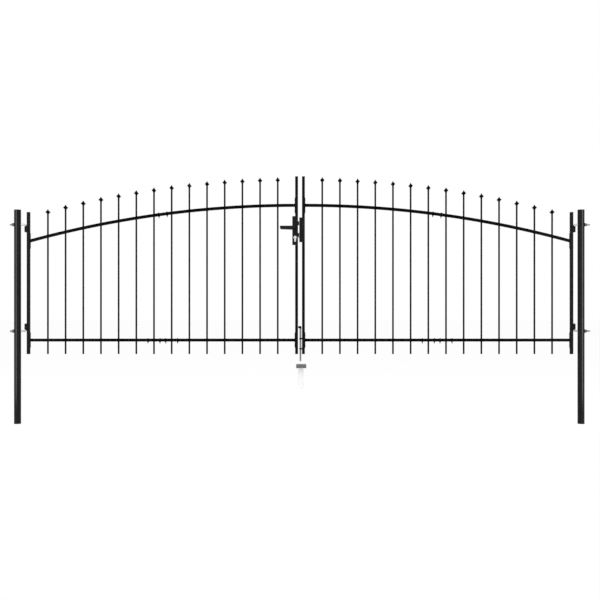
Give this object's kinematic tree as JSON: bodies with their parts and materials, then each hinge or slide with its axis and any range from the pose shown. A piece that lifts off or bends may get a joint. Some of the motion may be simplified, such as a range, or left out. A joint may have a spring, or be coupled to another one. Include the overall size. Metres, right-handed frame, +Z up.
{
  "type": "double leaf driveway gate with posts",
  "caption": "Arched double driveway gate of round bars with spear heads between two round posts, with lever lock, drop bolt and ground stop.",
  "frame": {"origin": "centre of the left post's open foot, the ring that stands in the ground", "axes": "+X runs along the closed gate to the right post, +Y points away from the viewer in front, +Z up"},
  "size_m": [4.0684, 0.092, 1.7335],
  "materials": {
    "black_powder_coat": "satin black powder coat",
    "zinc_plate": "zinc plated",
    "black_plastic": "moulded matte",
    "nickel": "satin nickel"
  },
  "bodies": {
    "posts": {"left_post": "black_powder_coat", "right_post": "black_powder_coat", "post_caps": "black_plastic", "left_hinge_hooks": "zinc_plate", "right_hinge_hooks": "zinc_plate", "hinge_nuts": "zinc_plate", "ground_stop_block": "zinc_plate", "ground_stop_anchor": "zinc_plate"},
    "left_leaf": {"left_hinge_stile": "black_powder_coat", "left_meeting_stile": "black_powder_coat", "left_stile_caps": "black_plastic", "left_bottom_rail_inner": "black_powder_coat", "left_bottom_rail_outer": "black_powder_coat", "left_top_rail_inner": "black_powder_coat", "left_top_rail_outer": "black_powder_coat", "left_bars": "black_powder_coat", "left_spear_heads": "black_powder_coat", "left_end_plates": "black_powder_coat", "left_rail_spigots": "zinc_plate", "left_splice_bolts": "zinc_plate", "left_hinge_brackets": "black_powder_coat", "lock_case": "black_powder_coat", "lock_cylinder": "nickel"},
    "right_leaf": {"right_hinge_stile": "black_powder_coat", "right_meeting_stile": "black_powder_coat", "right_stile_caps": "black_plastic", "right_bottom_rail_inner": "black_powder_coat", "right_bottom_rail_outer": "black_powder_coat", "right_top_rail_inner": "black_powder_coat", "right_top_rail_outer": "black_powder_coat", "right_bars": "black_powder_coat", "right_spear_heads": "black_powder_coat", "right_end_plates": "black_powder_coat", "right_rail_spigots": "zinc_plate", "right_splice_bolts": "zinc_plate", "right_hinge_brackets": "black_powder_coat", "keep_box": "black_powder_coat", "drop_bolt_guides": "black_powder_coat"},
    "handle": {"front_lever": "black_powder_coat", "back_lever": "black_powder_coat", "lever_spindle": "zinc_plate"},
    "latch": {"latch_tongue": "zinc_plate"},
    "deadbolt": {"deadbolt": "zinc_plate"},
    "drop_bolt": {"drop_bolt_rod": "zinc_plate", "drop_bolt_grip": "black_plastic"}
  },
  "joints": [
    {"name": "left_leaf_hinge", "type": "hinge", "parent": "posts", "child": "left_leaf", "pos_m": [0.0578, 0, 0.68], "axis": [0, 0, 1], "range_deg": [-90, 90]},
    {"name": "right_leaf_hinge", "type": "hinge", "parent": "posts", "child": "right_leaf", "pos_m": [3.9042, 0, 0.68], "axis": [0, 0, -1], "range_deg": [-90, 90]},
    {"name": "lever_turn", "type": "hinge", "parent": "left_leaf", "child": "handle", "pos_m": [1.946, 0, 1.374], "axis": [0, -1, 0], "range_deg": [0, 40], "stiffness_Nm_per_rad": 1, "springref_deg": -34.38},
    {"name": "latch_slide", "type": "slide", "parent": "left_leaf", "child": "latch", "axis": [1, 0, 0], "range_m": [-0.009, 0]},
    {"name": "deadbolt_slide", "type": "slide", "parent": "left_leaf", "child": "deadbolt", "axis": [1, 0, 0], "range_m": [-0.006, 0.012]},
    {"name": "drop_bolt_slide", "type": "slide", "parent": "right_leaf", "child": "drop_bolt", "axis": [0, 0, 1], "range_m": [-0.062, 0.06]}
  ],
  "couplings": [
    {"joint": "latch_slide", "follows": "lever_turn", "m_per_rad": -0.0122}
  ]
}
